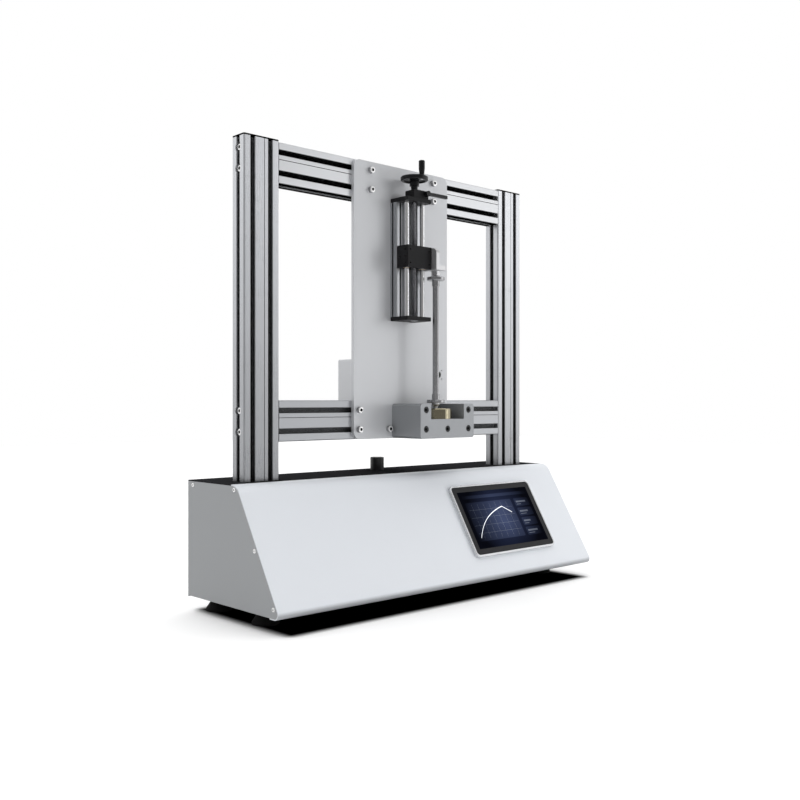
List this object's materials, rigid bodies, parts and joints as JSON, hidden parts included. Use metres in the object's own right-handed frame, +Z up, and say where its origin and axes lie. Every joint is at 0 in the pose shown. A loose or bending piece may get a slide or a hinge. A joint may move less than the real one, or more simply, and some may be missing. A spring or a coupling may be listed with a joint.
{
  "type": "universal testing machine",
  "caption": "Bench-top testing machine: sloped-front base with touch screen, slotted-profile frame, hand-cranked stage with push rod above a load cell, and a driven ram in the deck.",
  "frame": {"origin": "on the floor, under the middle of the machine", "axes": "+X to the machine's right as its user faces it, +Y to the rear, +Z up"},
  "size_m": [0.883, 0.2979, 0.9058],
  "materials": {
    "cover_paint": "smooth light grey paint",
    "side_paint": "fine-textured mid grey paint",
    "deck_paint": "fine-textured black paint",
    "inner_steel": "plain grey paint",
    "profile_aluminium": "clear anodised, drawn along its length",
    "plate_aluminium": "fine bead-blasted, clear anodised",
    "rail_aluminium": "clear anodised",
    "block_aluminium": "grey anodised, milled",
    "black_anodised": "black anodised, matte",
    "box_paint": "light grey paint",
    "steel": "ground",
    "bright_steel": "polished",
    "black_oxide": "black oxide",
    "zinc_steel": "zinc plated",
    "bronze": "plain bearing bronze",
    "nickel": "nickel plated, warm",
    "black_plastic": "moulded, matte",
    "cap_plastic": "moulded, matte",
    "foot_rubber": "moulded",
    "rim_plastic": "silver, satin",
    "screen_face": "dark display face",
    "supply_metal": "plain sheet",
    "board_laminate": "green laminate",
    "motor_paint": "black"
  },
  "bodies": {
    "machine_frame": {"front_cover": "cover_paint", "left_side_panel": "side_paint", "right_side_panel": "side_paint", "rear_panel": "side_paint", "top_deck": "deck_paint", "floor_plate": "inner_steel", "inner_frame": "inner_steel", "left_column": "profile_aluminium", "right_column": "profile_aluminium", "upper_beam": "profile_aluminium", "lower_beam": "profile_aluminium", "mounting_plate": "plate_aluminium", "stage_rail": "rail_aluminium", "load_cell_block": "block_aluminium", "stage_top_plate": "black_anodised", "stage_bottom_plate": "black_anodised", "clamp_block": "black_anodised", "drive_housing": "black_anodised", "rear_box": "box_paint", "rear_box_cover": "box_paint", "guide_rods": "steel", "ram_guide": "steel", "screw_bearings": "steel", "block_screws": "black_oxide", "slot_nuts": "zinc_steel", "frame_washers": "zinc_steel", "frame_screws": "zinc_steel", "plate_screws": "zinc_steel", "stage_screws": "zinc_steel", "side_panel_screws": "zinc_steel", "rear_panel_screws": "zinc_steel", "load_cell": "nickel", "power_inlet": "black_plastic", "sensor_socket": "black_plastic", "screen_housing": "black_plastic", "column_caps": "cap_plastic", "rubber_feet": "foot_rubber", "screen_rim": "rim_plastic", "screen_glass": "screen_face", "power_supply": "supply_metal", "control_board": "board_laminate", "drive_motor": "motor_paint"},
    "carriage": {"carriage": "black_anodised", "carriage_bushes": "bronze", "lead_nut": "bronze", "bracket": "steel", "bracket_screws": "zinc_steel", "rod_stud": "steel", "rod_collars": "steel", "push_rod": "steel", "rod_nose": "bright_steel"},
    "handwheel": {"handwheel": "black_plastic", "lead_screw": "steel", "crank_stud": "bright_steel"},
    "crank_handle": {"crank_handle": "black_plastic"},
    "lock_lever": {"lock_lever": "black_plastic"},
    "switch_rocker": {"switch_rocker": "black_plastic"},
    "ram": {"ram": "black_oxide", "ram_nut": "bronze"},
    "drive_screw": {"drive_screw": "steel"}
  },
  "joints": [
    {"name": "carriage_slide", "type": "slide", "parent": "machine_frame", "child": "carriage", "axis": [0, 0, 1], "range_m": [0, 0.085]},
    {"name": "handwheel_spin", "type": "hinge", "parent": "machine_frame", "child": "handwheel", "pos_m": [0, -0.0223, 0.86], "axis": [0, 0, 1], "continuous": true},
    {"name": "crank_handle_spin", "type": "hinge", "parent": "handwheel", "child": "crank_handle", "pos_m": [0, -0.0447, 0.89], "axis": [0, 0, 1], "continuous": true},
    {"name": "lock_lever_turn", "type": "hinge", "parent": "machine_frame", "child": "lock_lever", "pos_m": [0.02, -0.0358, 0.8395], "axis": [0, 1, 0], "range_deg": [-12, 35]},
    {"name": "switch_rocker_turn", "type": "hinge", "parent": "machine_frame", "child": "switch_rocker", "pos_m": [0.3, 0.1415, 0.127], "axis": [1, 0, 0], "range_deg": [0, 14]},
    {"name": "ram_slide", "type": "slide", "parent": "machine_frame", "child": "ram", "axis": [0, 0, 1], "range_m": [0, 0.03]},
    {"name": "drive_screw_spin", "type": "hinge", "parent": "machine_frame", "child": "drive_screw", "pos_m": [0, 0.0965, 0.17], "axis": [0, 0, 1], "continuous": true}
  ],
  "couplings": [
    {"joint": "handwheel_spin", "follows": "carriage_slide", "rad_per_m": -628.32},
    {"joint": "drive_screw_spin", "follows": "ram_slide", "rad_per_m": -628.32}
  ]
}
